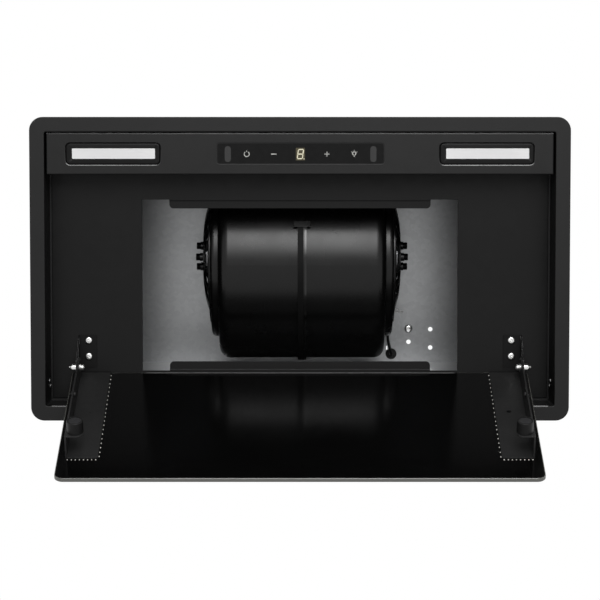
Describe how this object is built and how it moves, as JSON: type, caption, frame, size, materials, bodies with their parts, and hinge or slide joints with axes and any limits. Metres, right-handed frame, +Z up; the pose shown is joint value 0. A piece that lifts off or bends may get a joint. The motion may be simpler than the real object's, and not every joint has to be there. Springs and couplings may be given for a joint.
{
  "type": "built-in range hood",
  "caption": "Built-in range hood for a cabinet cut-out: flanged recess with lamps and touch controls, hinged glass panel, centrifugal blower in a sheet casing, round duct spigot.",
  "frame": {"origin": "centre of the cabinet cut-out, in the plane where the top face of the flange seats", "axes": "+Z up as installed, +X along the hood's width to the right seen from the front, -Y to the front where the control strip is; the panel's hinges are at the rear, +Y"},
  "size_m": [0.52, 0.3328, 0.4542],
  "materials": {
    "powder_black": "fine powder coat, satin",
    "strip_black": "fine powder coat, satin",
    "bracket_black": "powder coat, satin",
    "galvanised": "galvanised sheet, matt",
    "blower_plastic": "moulded, satin",
    "bezel_black": "moulded, satin gloss",
    "lens_white": "frosted diffuser",
    "control_black": "smoked window, gloss",
    "panel_glass": "black back-painted tempered glass",
    "screw_zinc": "zinc plated",
    "steel": "turned",
    "cast_alloy": "cast",
    "winding": "enamelled copper on laminations",
    "board_green": "circuit board with solder mask",
    "rubber": "matt",
    "magnet_cup": "rubber coated catch",
    "magnet": "plated disc",
    "box_plastic": "moulded",
    "white_plastic": "nylon",
    "spring_steel": "spring temper",
    "lead_black": "sleeved lead"
  },
  "bodies": {
    "root": {"flange_frame": "powder_black", "fixing_clips": "spring_steel", "fixing_clip_screws": "screw_zinc", "floor_plate": "powder_black", "control_strip": "strip_black", "lamp_bezel_left": "bezel_black", "lamp_bezel_right": "bezel_black", "lamp_lens_left": "lens_white", "lamp_lens_right": "lens_white", "lamp_boards": "board_green", "control_glass": "control_black", "control_housing": "box_plastic", "display_board": "board_green", "touch_springs": "spring_steel", "casing_wrap": "galvanised", "casing_top": "galvanised", "casing_screws": "screw_zinc", "earth_screw": "screw_zinc", "scroll_left": "blower_plastic", "scroll_right": "blower_plastic", "seam_clips": "blower_plastic", "inlet_ring_left": "blower_plastic", "inlet_ring_right": "blower_plastic", "inlet_grille_left": "blower_plastic", "inlet_grille_right": "blower_plastic", "hub_screws": "bracket_black", "axle_clamps": "cast_alloy", "hub_rubbers": "rubber", "motor_axle": "steel", "motor_stator": "winding", "hinge_bracket_left": "bracket_black", "hinge_bracket_right": "bracket_black", "hinge_bracket_screws": "screw_zinc", "hinge_bolts": "screw_zinc", "hinge_washers": "screw_zinc", "hinge_nuts": "screw_zinc", "outlet_collar": "box_plastic", "collar_screws": "screw_zinc", "flap_pin": "steel", "terminal_box": "box_plastic", "terminal_lid": "box_plastic", "lid_screws": "screw_zinc", "capacitor": "cast_alloy", "driver_board": "board_green", "cable_gland": "box_plastic", "motor_lead": "lead_black", "lead_grommet": "rubber", "lead_tie": "white_plastic"},
    "panel": {"glass_panel": "panel_glass", "panel_bracket_left": "bracket_black", "panel_bracket_right": "bracket_black", "magnet_cup_left": "magnet_cup", "magnet_cup_right": "magnet_cup", "magnet_discs": "magnet"},
    "impeller": {"impeller": "blower_plastic", "rotor_can": "cast_alloy", "rotor_cap": "cast_alloy", "bearings": "steel"},
    "flap_front": {"flap_front": "box_plastic"},
    "flap_rear": {"flap_rear": "box_plastic"}
  },
  "joints": [
    {"name": "panel_hinge", "type": "hinge", "parent": "root", "child": "panel", "pos_m": [0, 0.0973, 0.0263], "axis": [1, 0, 0], "range_deg": [-112.86, 0]},
    {"name": "impeller_spin", "type": "hinge", "parent": "root", "child": "impeller", "pos_m": [0.002, -0.0045, 0.16], "axis": [1, 0, 0], "continuous": true},
    {"name": "flap_front_swing", "type": "hinge", "parent": "root", "child": "flap_front", "pos_m": [0.002, 0.0406, 0.2821], "axis": [-1, 0, 0], "range_deg": [0, 80]},
    {"name": "flap_rear_swing", "type": "hinge", "parent": "root", "child": "flap_rear", "pos_m": [0.002, 0.0406, 0.2821], "axis": [1, 0, 0], "range_deg": [0, 80]}
  ]
}
